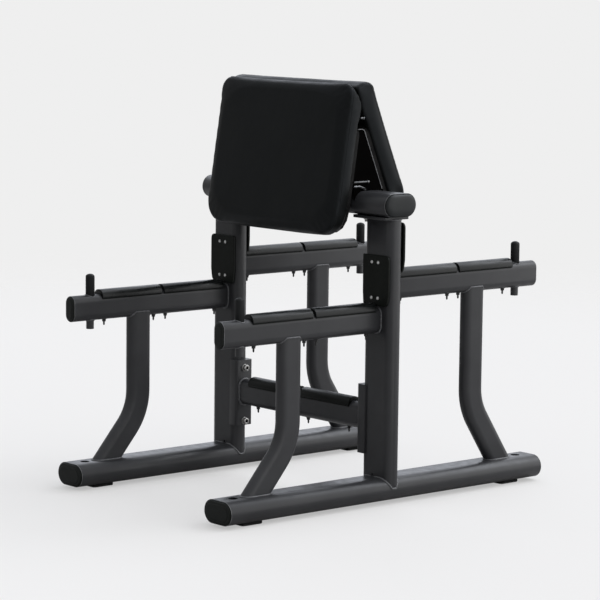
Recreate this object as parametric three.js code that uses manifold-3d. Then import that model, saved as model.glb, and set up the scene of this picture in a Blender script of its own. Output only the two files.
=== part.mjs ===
// Standing preacher bench: a welded frame of flat oval tube that carries two sloping arm pads.
// Millimetres. X runs along the crossbar, the front is towards -Y, and Z = 0 is the floor.

import * as THREE from "three";
import { mergeVertices } from "three/addons/utils/BufferGeometryUtils.js";
import Module from "manifold-3d";

const wasm = await Module();
wasm.setup();

// Shared dimensions
const fitGap = 0.3; // clearance wherever one piece seats on another
const wall = 3; // wall of every tube
const arcSteps = 8; // facets round each half circle of a tube section
const roundSides = 14; // facets round a small turned piece
const past = 5; // how far a hole's cutter passes the face it opens
const uprightSpacing = 700; // between the centrelines of the two uprights
const tubeEnd = 607; // from the middle of the bench to the cut ends of base tubes and arms

const capShape = { plugDeep: 14, flatRim: 11, armRim: 6 };
const base = {
  wide: 120,
  high: 68,
  floorGap: 9,
  anchorAt: 555,
  anchorHole: 28,
  floorBoltHole: 14,
};
const foot = { wide: 60, long: 76, at: 505, corner: 12, chamfer: 1.5 };
const upright = { wide: 122, deep: 51, lowest: 47 };
const topPlate = { inward: 85, outward: 55, deep: 98, thick: 8, corner: 10 };
const crossbar = { wide: 120, high: 68, halfLength: 417, height: 872.9 };
const plateBolt = { inward: 77, shank: 10, hole: 11, across: 17, nutHigh: 8, tip: 7, head: 5 };
const arm = { wide: 42, high: 77 };
const armHeights = { front: 538.35, back: 632.5 };
const peg = {
  at: 536,
  post: 20,
  sleeve: 27,
  bore: 20.8,
  aboveArm: 62.5,
  crown: 10,
  roof: 5,
  stub: 23,
  belowArm: 25,
  weld: 4,
};
const strip = {
  thick: 4.5, // at its lower edges
  crown: { arm: 13.5, rail: 11.5 }, // thickness over the tube's top
  fullness: 0.62, // how square its shoulders are
  halfWrap: 66,
  spans: { inner: [45, 274.5], outer: [284.5, 505] },
};
const guard = {
  high: 147,
  shoulder: 39, // height at which the narrower lower part ends
  lowerInner: 50,
  lowerOuter: 51,
  upperInner: 53,
  upperOuter: 57,
  thick: 7,
  gapToArm: 3,
  corner: 16,
  smallCorner: 6,
  chamfer: 1,
};
const strut = {
  wide: 42,
  deep: 78,
  top: 357.5,
  intoArm: 19, // before the cope
  foot: 474,
  bendRadius: 170,
  bend: { front: 40.3, back: 33.8 },
  bendSteps: 6,
};
const rail = {
  wide: 42,
  high: 79,
  height: 244.5,
  stripFrom: 10,
  stripTo: 232,
  halfWrap: 75,
};
const saddle = {
  face: 73,
  reach: 38,
  deep: 63,
  top: 343,
  bottom: 140,
  corner: 12,
  setBack: 3, // of its open edges
  boltHeights: { upper: 319, lower: 153.5 },
};
const railBolt = { head: 19, headHigh: 12, shank: 12, hole: 13, length: 34, key: 10, keyDeep: 6 };
const frontPad = {
  tilt: 9,
  rearAt: -69.5, // Y of the flat rear face at datumHeight
  bottom: 773,
  top: 1217,
  thick: 50,
  crown: 4,
  upperCorner: 42,
  topFall: 17,
  topDeep: 17,
};
const backPad = {
  tilt: 22.7,
  rearAt: 24.4,
  bottom: 824,
  top: 1210,
  thick: 66,
  crown: 4,
  upperCorner: 14,
  topFall: 28, // rounding of the upper edge, down the slope
  topDeep: 38, // and through the thickness
};
const datumHeight = 1000;
const padShape = {
  halfWide: 299,
  lowerCorner: 75,
  leastCorner: 8,
  edge: 12,
  drawnIn: 2,
  rearLip: 4,
  crownHalf: 20, // half height of the crown's flat middle
  cornerSteps: 8,
  edgeSteps: 4,
  topSteps: 3,
  crownSteps: 4,
};
const board = { thick: 13, inset: 11, top: 1095, corner: 30 };
const padBracket = {
  at: 284.5,
  thick: 5,
  flange: 30,
  top: 1091,
  frontHeel: 935,
  toe: 58,
  topRadius: 6,
  sole: 5, // below the crossbar's top
  frontFlangeUp: 5,
  backFlangeUp: 20,
  flangeDown: 10,
};

// Finishes
const finishes = {
  frame: { color: 0x2b2d30, roughness: 0.45, metalness: 0.6 },
  rubber: { color: 0x151617, roughness: 0.65, metalness: 0 },
  strip: { color: 0x1b1f1f, roughness: 0.55, metalness: 0 },
  plastic: { color: 0x121314, roughness: 0.4, metalness: 0 },
  vinyl: { color: 0x111211, roughness: 0.5, metalness: 0 },
  board: { color: 0x181818, roughness: 0.8, metalness: 0 },
  zinc: { color: 0xb4b6b8, roughness: 0.35, metalness: 1 },
};

const baseHeight = base.floorGap + base.high / 2;
const baseTop = base.floorGap + base.high;
const saddleHeight = saddle.top - saddle.bottom;

function toSolid(geometry) {
  const bare = geometry.clone();
  bare.deleteAttribute("normal");
  bare.deleteAttribute("uv");
  const merged = mergeVertices(bare, 1e-4);
  const vertProperties = Float32Array.from(merged.attributes.position.array);
  const triVerts = Uint32Array.from(merged.index.array);
  return new wasm.Manifold(new wasm.Mesh({ numProp: 3, vertProperties, triVerts }));
}

function toGeometry(solid) {
  const mesh = solid.getMesh();
  const geometry = new THREE.BufferGeometry();
  geometry.setAttribute("position", new THREE.BufferAttribute(mesh.vertProperties, 3));
  geometry.setIndex(new THREE.BufferAttribute(mesh.triVerts, 1));
  geometry.computeVertexNormals();
  return geometry;
}

function combine(operation, first, others) {
  let solid = toSolid(first);
  for (const other of others) {
    solid = solid[operation](toSolid(other));
  }
  return toGeometry(solid);
}

function join(first, ...others) {
  return combine("add", first, others);
}

function cut(first, ...others) {
  return combine("subtract", first, others);
}

// Closed skin through rings of equal point count. Each ring runs anticlockwise about the
// direction from the first ring to the last, and a flat fan closes both ends.
function loft(rings) {
  const count = rings[0].length;
  const positions = rings.flat().flatMap((point) => point.toArray());
  const index = [];
  for (let ring = 0; ring < rings.length - 1; ring += 1) {
    for (let i = 0; i < count; i += 1) {
      const here = ring * count + i;
      const next = ring * count + ((i + 1) % count);
      index.push(here, next, next + count, here, next + count, here + count);
    }
  }
  const last = (rings.length - 1) * count;
  for (let i = 1; i < count - 1; i += 1) {
    index.push(0, i + 1, i);
    index.push(last, last + i, last + i + 1);
  }
  const geometry = new THREE.BufferGeometry();
  geometry.setAttribute("position", new THREE.Float32BufferAttribute(positions, 3));
  geometry.setIndex(index);
  geometry.computeVertexNormals();
  return geometry;
}

// Outline of a flat oval, which is two half circles joined by straight sides
function flatOval(wide, high, steps = arcSteps) {
  const radius = Math.min(wide, high) / 2;
  const sideways = Math.max(wide - high, 0) / 2;
  const upwards = Math.max(high - wide, 0) / 2;
  const start = wide > high ? -Math.PI / 2 : 0;
  const points = [];
  for (const end of [1, -1]) {
    for (let i = 0; i <= steps; i += 1) {
      const angle = start + (end > 0 ? 0 : Math.PI) + (Math.PI * i) / steps;
      const x = end * sideways + radius * Math.cos(angle);
      const y = end * upwards + radius * Math.sin(angle);
      points.push(new THREE.Vector2(x, y));
    }
  }
  return points;
}

function ringAt(outline, height) {
  return outline.map((point) => new THREE.Vector3(point.x, point.y, height));
}

// Flat oval bar along +Z from the origin, thicker all round by grow
function ovalBar(wide, high, length, grow = 0) {
  const outline = flatOval(wide + 2 * grow, high + 2 * grow);
  return loft([ringAt(outline, 0), ringAt(outline, length)]);
}

// Flat oval tube along +Z from the origin, open at both ends
function ovalTube(wide, high, length) {
  const outside = flatOval(wide, high);
  const inside = flatOval(wide - 2 * wall, high - 2 * wall);
  const rings = [
    ringAt(outside, 0),
    ringAt(outside, length),
    ringAt(inside, length),
    ringAt(inside, 0),
  ];
  return closedLoft(rings);
}

// Loft whose last ring meets its first, so that it closes on itself round an opening
function closedLoft(rings) {
  const count = rings[0].length;
  const positions = rings.flat().flatMap((point) => point.toArray());
  const index = [];
  for (let ring = 0; ring < rings.length; ring += 1) {
    const start = ring * count;
    const above = ((ring + 1) % rings.length) * count;
    for (let i = 0; i < count; i += 1) {
      const next = (i + 1) % count;
      index.push(start + i, start + next, above + next, start + i, above + next, above + i);
    }
  }
  const geometry = new THREE.BufferGeometry();
  geometry.setAttribute("position", new THREE.Float32BufferAttribute(positions, 3));
  geometry.setIndex(index);
  geometry.computeVertexNormals();
  return geometry;
}

// Shape with rounded corners, each given as [x, y, radius]
function roundedShape(corners) {
  const shape = new THREE.Shape();
  corners.forEach(([x, y, radius], i) => {
    const corner = new THREE.Vector2(x, y);
    const [beforeX, beforeY] = corners.at(i - 1);
    const [afterX, afterY] = corners[(i + 1) % corners.length];
    const towardsBefore = new THREE.Vector2(beforeX - x, beforeY - y).setLength(radius);
    const towardsAfter = new THREE.Vector2(afterX - x, afterY - y).setLength(radius);
    const start = corner.clone().add(towardsBefore);
    const end = corner.clone().add(towardsAfter);
    if (i === 0) {
      shape.moveTo(start.x, start.y);
    } else {
      shape.lineTo(start.x, start.y);
    }
    if (radius > 0) {
      shape.quadraticCurveTo(x, y, end.x, end.y);
    }
  });
  shape.closePath();
  return shape;
}

function extrude(shape, depth, chamfer = 0) {
  return new THREE.ExtrudeGeometry(shape, {
    depth: depth - 2 * chamfer,
    steps: 1,
    curveSegments: 4,
    bevelEnabled: chamfer > 0,
    bevelThickness: chamfer,
    bevelSize: chamfer,
    bevelOffset: -chamfer,
    bevelSegments: 1,
  }).translate(0, 0, chamfer);
}

// Round bar whose axis is vertical
function roundBar(diameter, bottom, top, sides = roundSides, topDiameter = diameter) {
  const length = top - bottom;
  const geometry = new THREE.CylinderGeometry(topDiameter / 2, diameter / 2, length, sides);
  return geometry.rotateX(Math.PI / 2).translate(0, 0, bottom + length / 2);
}

function lathe(profile) {
  const points = profile.map(([radius, height]) => new THREE.Vector2(radius, height));
  return new THREE.LatheGeometry(points, roundSides).rotateX(Math.PI / 2);
}

function addPiece(group, name, geometry, finish, place = [0, 0, 0]) {
  const mesh = new THREE.Mesh(geometry, new THREE.MeshStandardMaterial(finishes[finish]));
  mesh.name = name;
  mesh.position.set(...place);
  group.add(mesh);
  return mesh;
}

// End cap of a flat oval tube: a plug for the bore and a head that covers the cut end.
// The face lies outward of the tube end, at +Z, and steps lists each ring as [inset, height].
function endCap(wide, high, steps) {
  const plugInset = wall + fitGap;
  const profile = [[plugInset, -capShape.plugDeep], [plugInset, fitGap], ...steps];
  const rings = profile.map(([inset, height]) =>
    ringAt(flatOval(wide - 2 * inset, high - 2 * inset), height),
  );
  return loft(rings);
}

// Flat face with a chamfered rim, on base tubes and arms
function flatCap(wide, high, rim) {
  const head = 7.5;
  const shoulder = 3.5;
  const bevel = 6.5;
  return endCap(wide, high, [
    [0, fitGap],
    [0, shoulder],
    [rim / 3, bevel],
    [rim, head],
  ]);
}

// Low dome, on the crossbar
function domedCap(wide, high) {
  const head = 11;
  const domeSteps = 5;
  const crest = 10; // half the width that stays flat on top
  const deepest = Math.min(wide, high) / 2 - crest;
  const rimHigh = 1.5;
  const rings = [[0, fitGap]];
  for (let i = 0; i <= domeSteps; i += 1) {
    const angle = (Math.PI / 2) * (i / domeSteps);
    rings.push([deepest * (1 - Math.cos(angle)), rimHigh + (head - rimHigh) * Math.sin(angle)]);
  }
  return endCap(wide, high, rings);
}

// Base tube along Y, with an anchor hole near each end
function baseTube() {
  const tube = ovalTube(base.wide, base.high, 2 * tubeEnd);
  tube.rotateX(Math.PI / 2).translate(0, tubeEnd, 0);
  const holes = [];
  for (const y of [-base.anchorAt, base.anchorAt]) {
    holes.push(roundBar(base.anchorHole, 0, base.high, 20).translate(0, y, 0));
    holes.push(roundBar(base.floorBoltHole, -base.high, 0).translate(0, y, 0));
  }
  return cut(tube, ...holes);
}

function rubberFoot() {
  const halfWide = foot.wide / 2;
  const halfLong = foot.long / 2;
  const outline = roundedShape([
    [-halfWide, -halfLong, foot.corner],
    [halfWide, -halfLong, foot.corner],
    [halfWide, halfLong, foot.corner],
    [-halfWide, halfLong, foot.corner],
  ]);
  return extrude(outline, base.floorGap - fitGap, foot.chamfer);
}

// Upright on the axis x = 0, saddled over the base tube, with the crossbar's plate on top.
// towards is +1 or -1, the X direction of the middle of the bench.
function uprightPost(towards) {
  const plateTop = crossbar.height - crossbar.high / 2 - fitGap;
  const plateBottom = plateTop - topPlate.thick;
  const tube = ovalTube(upright.wide, upright.deep, plateBottom + 1 - upright.lowest);
  tube.translate(0, 0, upright.lowest);
  const inner = towards * topPlate.inward;
  const outer = -towards * topPlate.outward;
  const left = Math.min(inner, outer);
  const right = Math.max(inner, outer);
  const halfDeep = topPlate.deep / 2;
  const outline = roundedShape([
    [left, -halfDeep, topPlate.corner],
    [right, -halfDeep, topPlate.corner],
    [right, halfDeep, topPlate.corner],
    [left, halfDeep, topPlate.corner],
  ]);
  const plate = extrude(outline, topPlate.thick).translate(0, 0, plateBottom);
  const boltHole = roundBar(plateBolt.hole, plateBottom - past, plateTop + past);
  boltHole.translate(towards * plateBolt.inward, 0, 0);
  const baseShape = ovalBar(base.wide, base.high, 2 * upright.deep, fitGap);
  baseShape.rotateX(Math.PI / 2).translate(0, upright.deep, baseHeight);
  const railHoles = Object.values(saddle.boltHeights).map((height) => {
    const hole = roundBar(railBolt.hole, 0, upright.wide).rotateY((Math.PI / 2) * towards);
    return hole.translate(0, 0, height);
  });
  return cut(join(tube, plate), baseShape, boltHole, ...railHoles);
}

function crossbarTube() {
  const tube = ovalTube(crossbar.high, crossbar.wide, 2 * crossbar.halfLength);
  tube.rotateY(Math.PI / 2).translate(-crossbar.halfLength, 0, 0);
  const boltAt = uprightSpacing / 2 - plateBolt.inward;
  const holes = [-boltAt, boltAt].map((x) =>
    roundBar(plateBolt.hole, -crossbar.high, 0).translate(x, 0, 0),
  );
  return cut(tube, ...holes);
}

// Stud that clamps the crossbar to an upright's plate, with its nut under the plate.
// Its origin is on the plate's underside.
function plateStud() {
  const plateAndWall = topPlate.thick + fitGap + wall + fitGap;
  const shank = roundBar(plateBolt.shank, -plateBolt.nutHigh - plateBolt.tip, plateAndWall + 1);
  const head = roundBar(plateBolt.across, plateAndWall, plateAndWall + plateBolt.head);
  const nut = roundBar(plateBolt.across, -plateBolt.nutHigh - fitGap, -fitGap, 6);
  return join(shank, head, nut);
}

// Arm from an upright's face outward along -Y, with the peg's post and its stub below.
// Origin on the arm's centreline at the upright's axis.
function armTube() {
  const start = upright.deep / 2 + fitGap;
  const tube = ovalTube(arm.wide, arm.high, tubeEnd - start);
  tube.rotateX(Math.PI / 2).translate(0, -start, 0);
  const top = arm.high / 2;
  const post = roundBar(peg.post, -top, top + peg.aboveArm - peg.roof);
  const stub = roundBar(peg.stub, -top - peg.belowArm, -top + arm.wide / 2);
  const flare = peg.stub + 2 * peg.weld;
  const fillet = roundBar(peg.stub, -top - peg.weld, -top + peg.weld, roundSides, flare);
  const parts = [post, stub, fillet].map((part) => part.translate(0, -peg.at, 0));
  return join(tube, ...parts);
}

// Rubber sleeve over the peg's post, coped to the arm's rounded top
function pegSleeve() {
  const armTop = arm.high / 2;
  const top = armTop + peg.aboveArm;
  const radius = peg.sleeve / 2;
  const bore = peg.bore / 2;
  const roofHeight = top - peg.roof + fitGap;
  const skirt = armTop - 8; // covered by the cope
  const shoulder = top - peg.crown;
  const profile = [
    [0, roofHeight],
    [bore, roofHeight],
    [bore, skirt],
    [radius, skirt],
    [radius, shoulder],
  ];
  const domeSteps = 4;
  for (let i = 1; i <= domeSteps; i += 1) {
    const angle = (Math.PI / 2) * (i / domeSteps);
    const reach = i === domeSteps ? 0 : radius * Math.cos(angle);
    profile.push([reach, shoulder + peg.crown * Math.sin(angle)]);
  }
  const armShape = ovalBar(arm.wide, arm.high, 2 * peg.sleeve, fitGap).rotateX(Math.PI / 2);
  return cut(lathe(profile), armShape.translate(0, peg.sleeve, 0));
}

// Wear strip bent over the rounded top of a tube, along +Z from the origin.
// The section's top is at +Y and its centre is the centre of the tube's top half circle.
// It is thin at its lower edges and thick over the tube's top, with full shoulders.
function wearStrip(tubeWide, crown, halfWrap, length) {
  const inner = tubeWide / 2 + fitGap;
  const outer = inner + strip.thick;
  const top = inner + crown;
  const middle = Math.PI / 2;
  const wrap = THREE.MathUtils.degToRad(halfWrap);
  const side = outer * Math.sin(wrap);
  const edge = outer * Math.cos(wrap);
  const shoulder = edge + (top - edge) * strip.fullness;
  const flat = side * strip.fullness;
  const section = new THREE.Shape();
  section.moveTo(side, edge);
  section.bezierCurveTo(side, shoulder, flat, top, 0, top);
  section.bezierCurveTo(-flat, top, -side, shoulder, -side, edge);
  section.absarc(0, 0, inner, middle + wrap, middle - wrap, true);
  section.closePath();
  return new THREE.ExtrudeGeometry(section, { depth: length, bevelEnabled: false, curveSegments: 8 });
}

// Guard plate on the upright's face above an arm. outward is +1 or -1, the X direction
// of the bench's outside, where the plate is wider and its corners are rounder.
function guardPlate(outward) {
  const corners = [
    [-guard.lowerInner, 0, guard.smallCorner],
    [guard.lowerOuter, 0, guard.corner],
    [guard.upperOuter, guard.shoulder, guard.smallCorner],
    [guard.upperOuter, guard.high, guard.corner],
    [-guard.upperInner, guard.high, guard.smallCorner],
    [-guard.upperInner, guard.shoulder, guard.smallCorner],
  ];
  const plate = extrude(roundedShape(corners), guard.thick, guard.chamfer).rotateX(Math.PI / 2);
  if (outward > 0) {
    return plate;
  }
  return plate.rotateZ(Math.PI).translate(0, -guard.thick, 0);
}

// Centreline of a strut: down from the arm, through one bend, and on past the base's top
function strutStations(bendDegrees, armCentre) {
  const bend = THREE.MathUtils.degToRad(bendDegrees);
  const bendOut = strut.bendRadius * (1 - Math.cos(bend));
  const slope = (strut.foot - strut.top - bendOut) / Math.sin(bend);
  const bendTop = baseTop + slope * Math.cos(bend) + strut.bendRadius * Math.sin(bend);
  const stations = [{ out: strut.top, height: armCentre - arm.high / 2 + strut.intoArm, turn: 0 }];
  for (let i = 0; i <= strut.bendSteps; i += 1) {
    const turn = (bend * i) / strut.bendSteps;
    stations.push({
      out: strut.top + strut.bendRadius * (1 - Math.cos(turn)),
      height: bendTop - strut.bendRadius * Math.sin(turn),
      turn,
    });
  }
  const past = slope + strut.deep;
  const bendEnd = stations.at(-1);
  stations.push({
    out: bendEnd.out + past * Math.sin(bend),
    height: bendEnd.height - past * Math.cos(bend),
    turn: bend,
  });
  return stations;
}

function strutRings(stations, inset) {
  const outline = flatOval(strut.wide - 2 * inset, strut.deep - 2 * inset);
  return stations.map(({ out, height, turn }) =>
    outline.map(
      (point) =>
        new THREE.Vector3(
          point.x,
          -out - point.y * Math.cos(turn),
          height + point.y * Math.sin(turn),
        ),
    ),
  );
}

// Bent strut, coped to the arm's rounded underside and cut flat on the base tube
function strutTube(bendDegrees, armCentre) {
  const stations = strutStations(bendDegrees, armCentre);
  const outside = strutRings(stations, 0);
  const inside = strutRings(stations, wall);
  const tube = closedLoft([...outside, ...inside.reverse()]);
  const armShape = ovalBar(arm.wide, arm.high, tubeEnd, fitGap).rotateX(Math.PI / 2);
  armShape.translate(0, 0, armCentre);
  const below = new THREE.BoxGeometry(2 * strut.wide, 2 * tubeEnd, 2 * strut.deep);
  below.translate(0, 0, baseTop + fitGap - strut.deep);
  return cut(tube, armShape, below);
}

// Lower rail along X with a saddle on each end that wraps the upright's rounded edge. The
// saddles close its bore for good, so the rail is solid inside.
function lowerRail() {
  const uprightAt = uprightSpacing / 2;
  const saddleFace = uprightAt - saddle.face;
  const intoSaddle = 1;
  const halfBar = saddleFace + intoSaddle;
  const bar = ovalBar(rail.high, rail.wide, 2 * halfBar).rotateY(Math.PI / 2);
  bar.translate(-halfBar, 0, 0);
  const pieces = [];
  const cutters = [];
  for (const side of [-1, 1]) {
    const reach = saddleFace + saddle.reach - saddle.setBack;
    const halfDeep = saddle.deep / 2;
    const outline = roundedShape([
      [side * saddleFace, -side * halfDeep, saddle.corner],
      [side * reach, -side * halfDeep, 0],
      [side * reach, side * halfDeep, 0],
      [side * saddleFace, side * halfDeep, saddle.corner],
    ]);
    const low = saddle.bottom - rail.height;
    pieces.push(extrude(outline, saddleHeight).translate(0, 0, low));
    const uprightShape = ovalBar(upright.wide, upright.deep, saddleHeight + 2 * past, fitGap);
    cutters.push(uprightShape.translate(side * uprightAt, 0, low - past));
    for (const height of Object.values(saddle.boltHeights)) {
      const hole = roundBar(railBolt.hole, -saddle.reach, saddle.reach).rotateY(Math.PI / 2);
      cutters.push(hole.translate(side * saddleFace, 0, height - rail.height));
    }
  }
  return cut(join(bar, ...pieces), ...cutters);
}

// Socket head screw along +Z, its head below the origin and its shank above
function socketScrew() {
  const headRadius = railBolt.head / 2;
  const shankRadius = railBolt.shank / 2;
  const edge = 1;
  const profile = [
    [0, -railBolt.headHigh],
    [headRadius - edge, -railBolt.headHigh],
    [headRadius, -railBolt.headHigh + edge],
    [headRadius, -fitGap],
    [shankRadius, -fitGap],
    [shankRadius, railBolt.length - edge],
    [shankRadius - edge, railBolt.length],
    [0, railBolt.length],
  ];
  const socketEnd = -railBolt.headHigh + railBolt.keyDeep;
  const socket = roundBar(railBolt.key, -railBolt.headHigh - past, socketEnd, 6);
  return cut(lathe(profile), socket);
}

// Outline of a pad, drawn in by inset at its sides and bottom and by topInset at its top
function padOutline(pad, inset, topInset) {
  const halfWide = padShape.halfWide - inset;
  const lower = Math.max(padShape.lowerCorner - inset, padShape.leastCorner);
  const upper = Math.max(pad.upperCorner - inset, padShape.leastCorner);
  const corners = [
    [1, inset - halfLength(pad) + lower, lower],
    [1, halfLength(pad) - topInset - upper, upper],
    [-1, halfLength(pad) - topInset - upper, upper],
    [-1, inset - halfLength(pad) + lower, lower],
  ];
  return corners.flatMap(([x, y, radius], quarter) => {
    const centre = new THREE.Vector2(x * (halfWide - radius), y);
    const points = [];
    for (let i = 0; i <= padShape.cornerSteps; i += 1) {
      const angle = (Math.PI / 2) * (quarter - 1 + i / padShape.cornerSteps);
      const arc = new THREE.Vector2(Math.cos(angle), Math.sin(angle)).multiplyScalar(radius);
      points.push(arc.add(centre));
    }
    return points;
  });
}

// Cushion on the plane z = 0, with its crowned face at +Z, +Y up the slope. Its sides are
// drawn in at the middle of their height, and its upper edge is rounded further than the rest.
function cushion(pad) {
  const { edge, drawnIn, rearLip, edgeSteps, topSteps, crownSteps } = padShape;
  const sideTop = pad.thick - edge;
  const topStart = pad.thick - pad.topDeep;
  const topInsetAt = (height) => {
    const along = Math.max(height - topStart, 0) / pad.topDeep;
    return pad.topFall * (1 - Math.sqrt(1 - along * along));
  };
  const profile = [
    [rearLip, 0, rearLip],
    [1, rearLip, 1],
  ];
  for (let i = 0; i < topSteps; i += 1) {
    const height = topStart + ((sideTop - topStart) * i) / topSteps;
    const inset = drawnIn * Math.sin((Math.PI * height) / sideTop);
    profile.push([inset, height, topInsetAt(height)]);
  }
  for (let i = 0; i <= edgeSteps; i += 1) {
    const angle = (Math.PI / 2) * (i / edgeSteps);
    const height = sideTop + edge * Math.sin(angle);
    profile.push([edge * (1 - Math.cos(angle)), height, topInsetAt(height)]);
  }
  const widest = halfLength(pad) - padShape.crownHalf;
  for (let i = 1; i <= crownSteps; i += 1) {
    const inwards = i / crownSteps;
    const inset = THREE.MathUtils.lerp(edge, widest, inwards);
    const topInset = THREE.MathUtils.lerp(pad.topFall, widest, inwards);
    profile.push([inset, pad.thick + pad.crown * Math.sin((Math.PI / 2) * inwards), topInset]);
  }
  return loft(
    profile.map(([inset, height, topInset]) => ringAt(padOutline(pad, inset, topInset), height)),
  );
}

function halfLength(pad) {
  return (pad.top - pad.bottom) / Math.cos(THREE.MathUtils.degToRad(pad.tilt)) / 2;
}

// Plywood board on the pad's rear face, from near its lower edge up to the board's own top
function padBoard(pad) {
  const slope = Math.cos(THREE.MathUtils.degToRad(pad.tilt));
  const middle = (pad.top + pad.bottom) / 2;
  const top = (board.top - middle) / slope;
  const bottom = -halfLength(pad) + board.inset;
  const half = padShape.halfWide - board.inset;
  const outline = roundedShape([
    [-half, bottom, padShape.lowerCorner],
    [half, bottom, padShape.lowerCorner],
    [half, top, board.corner],
    [-half, top, board.corner],
  ]);
  return extrude(outline, board.thick - fitGap).translate(0, 0, -board.thick);
}

// Group whose +Z is the pad's outward normal, +Y up its slope, at the middle of its rear face.
// The front pad leans back and the back pad is the same thing turned round.
function padGroup(pad, facing) {
  const tilt = THREE.MathUtils.degToRad(pad.tilt);
  const middle = (pad.top + pad.bottom) / 2;
  const turned = new THREE.Group();
  turned.rotation.z = facing === "front" ? 0 : Math.PI;
  const rear = facing === "front" ? pad.rearAt : -pad.rearAt;
  const inner = new THREE.Group();
  inner.position.set(0, rear + (middle - datumHeight) * Math.tan(tilt), middle);
  inner.rotation.x = Math.PI / 2 - tilt;
  turned.add(inner);
  bench.add(turned);
  return inner;
}

// The front pad ends against the back pad's rear face, so its upper rear is cut to that plane
function frontCushion() {
  const frontTilt = THREE.MathUtils.degToRad(frontPad.tilt);
  const backTilt = THREE.MathUtils.degToRad(backPad.tilt);
  const spread = backPad.rearAt - frontPad.rearAt;
  const rise = spread / (Math.tan(frontTilt) + Math.tan(backTilt));
  const middle = (frontPad.top + frontPad.bottom) / 2;
  const meeting = (datumHeight + rise - middle) / Math.cos(frontTilt);
  const clear = 0.5;
  const deep = 4 * frontPad.thick;
  const beyond = new THREE.BoxGeometry(3 * padShape.halfWide, 2 * halfLength(frontPad), deep);
  beyond.translate(0, 0, clear - deep / 2).rotateX(frontTilt + backTilt).translate(0, meeting, 0);
  return cut(cushion(frontPad), beyond);
}

// Inner face of a pad's board as Y at a height, less the fit gap
function boardFace(pad, sign, height) {
  const tilt = THREE.MathUtils.degToRad(pad.tilt);
  const depth = (board.thick + fitGap) / Math.cos(tilt);
  return pad.rearAt - sign * depth + sign * (datumHeight - height) * Math.tan(tilt);
}

// Bracket plate that stands on the crossbar between the boards, with a flange along each.
// inward is +1 or -1, the X direction of the middle of the bench.
function bracketPlate(inward) {
  const frontAt = (height) => boardFace(frontPad, -1, height);
  const backAt = (height) => boardFace(backPad, 1, height);
  const low = crossbar.height;
  const sole = low + crossbar.high / 2 - padBracket.sole;
  const outline = roundedShape([
    [-padBracket.toe, low, 0],
    [padBracket.toe, low, 0],
    [backAt(sole), sole, 0],
    [backAt(padBracket.top), padBracket.top, padBracket.topRadius],
    [frontAt(padBracket.top), padBracket.top, padBracket.topRadius],
    [frontAt(padBracket.frontHeel), padBracket.frontHeel, 0],
  ]);
  const flangeTop = padBracket.top - padBracket.flangeDown;
  const flanges = [
    [frontAt, 1, padBracket.frontHeel + padBracket.frontFlangeUp],
    [backAt, -1, sole + padBracket.backFlangeUp],
  ].map(([faceAt, into, bottom]) => {
    const thick = into * padBracket.thick;
    const corners = [
      [faceAt(bottom), bottom, 0],
      [faceAt(bottom) + thick, bottom, 0],
      [faceAt(flangeTop) + thick, flangeTop, 0],
      [faceAt(flangeTop), flangeTop, 0],
    ];
    return standingPlate(roundedShape(into > 0 ? corners : corners.reverse()), padBracket.flange, inward);
  });
  const halfCutter = 2 * padBracket.flange;
  const crossbarShape = ovalBar(crossbar.high, crossbar.wide, 2 * halfCutter, fitGap);
  crossbarShape.rotateY(Math.PI / 2).translate(-halfCutter, 0, crossbar.height);
  const web = standingPlate(outline, padBracket.thick, inward);
  return cut(join(web, ...flanges), crossbarShape);
}

// Plate in the YZ plane from x = 0 inward, whose outline gives Y and Z
function standingPlate(outline, thick, inward) {
  const plate = extrude(outline, thick).rotateX(Math.PI / 2).rotateZ(Math.PI / 2);
  return inward > 0 ? plate : plate.translate(-thick, 0, 0);
}

const bench = new THREE.Group();

// Both sides of the frame, each in a group on its upright's axis
for (const [sideName, side] of [["left", -1], ["right", 1]]) {
  const sideGroup = new THREE.Group();
  sideGroup.position.x = (side * uprightSpacing) / 2;
  bench.add(sideGroup);
  addPiece(sideGroup, `base_tube_${sideName}`, baseTube(), "frame", [0, 0, baseHeight]);
  addPiece(sideGroup, `upright_${sideName}`, uprightPost(-side), "frame");
  const plateBottom = crossbar.height - crossbar.high / 2 - fitGap - topPlate.thick;
  const studPlace = [-side * plateBolt.inward, 0, plateBottom];
  addPiece(sideGroup, `plate_bolt_${sideName}`, plateStud(), "zinc", studPlace);

  for (const endName of ["front", "back"]) {
    const end = new THREE.Group();
    end.rotation.z = endName === "front" ? 0 : Math.PI;
    sideGroup.add(end);
    const outward = endName === "front" ? side : -side;
    const label = `${endName}_${sideName}`;
    const height = armHeights[endName];
    const armTop = height + arm.high / 2;
    const stripCentre = armTop - arm.wide / 2;

    const baseCap = flatCap(base.wide, base.high, capShape.flatRim).rotateX(Math.PI / 2);
    addPiece(end, `base_cap_${label}`, baseCap, "plastic", [0, -tubeEnd, baseHeight]);
    addPiece(end, `foot_${label}`, rubberFoot(), "rubber", [0, -foot.at, 0]);

    addPiece(end, `arm_${label}`, armTube(), "frame", [0, 0, height]);
    const armCap = flatCap(arm.wide, arm.high, capShape.armRim).rotateX(Math.PI / 2);
    addPiece(end, `arm_cap_${label}`, armCap, "plastic", [0, -tubeEnd, height]);
    addPiece(end, `peg_sleeve_${label}`, pegSleeve(), "rubber", [0, -peg.at, height]);
    for (const [stripName, [from, to]] of Object.entries(strip.spans)) {
      const geometry = wearStrip(arm.wide, strip.crown.arm, strip.halfWrap, to - from);
      geometry.rotateX(Math.PI / 2);
      addPiece(end, `arm_strip_${stripName}_${label}`, geometry, "strip", [0, -from, stripCentre]);
    }

    const guardPlace = [0, -upright.deep / 2 - fitGap, armTop + guard.gapToArm];
    addPiece(end, `guard_${label}`, guardPlate(outward), "plastic", guardPlace);
    addPiece(end, `strut_${label}`, strutTube(strut.bend[endName], height), "frame");
  }
}

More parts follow.
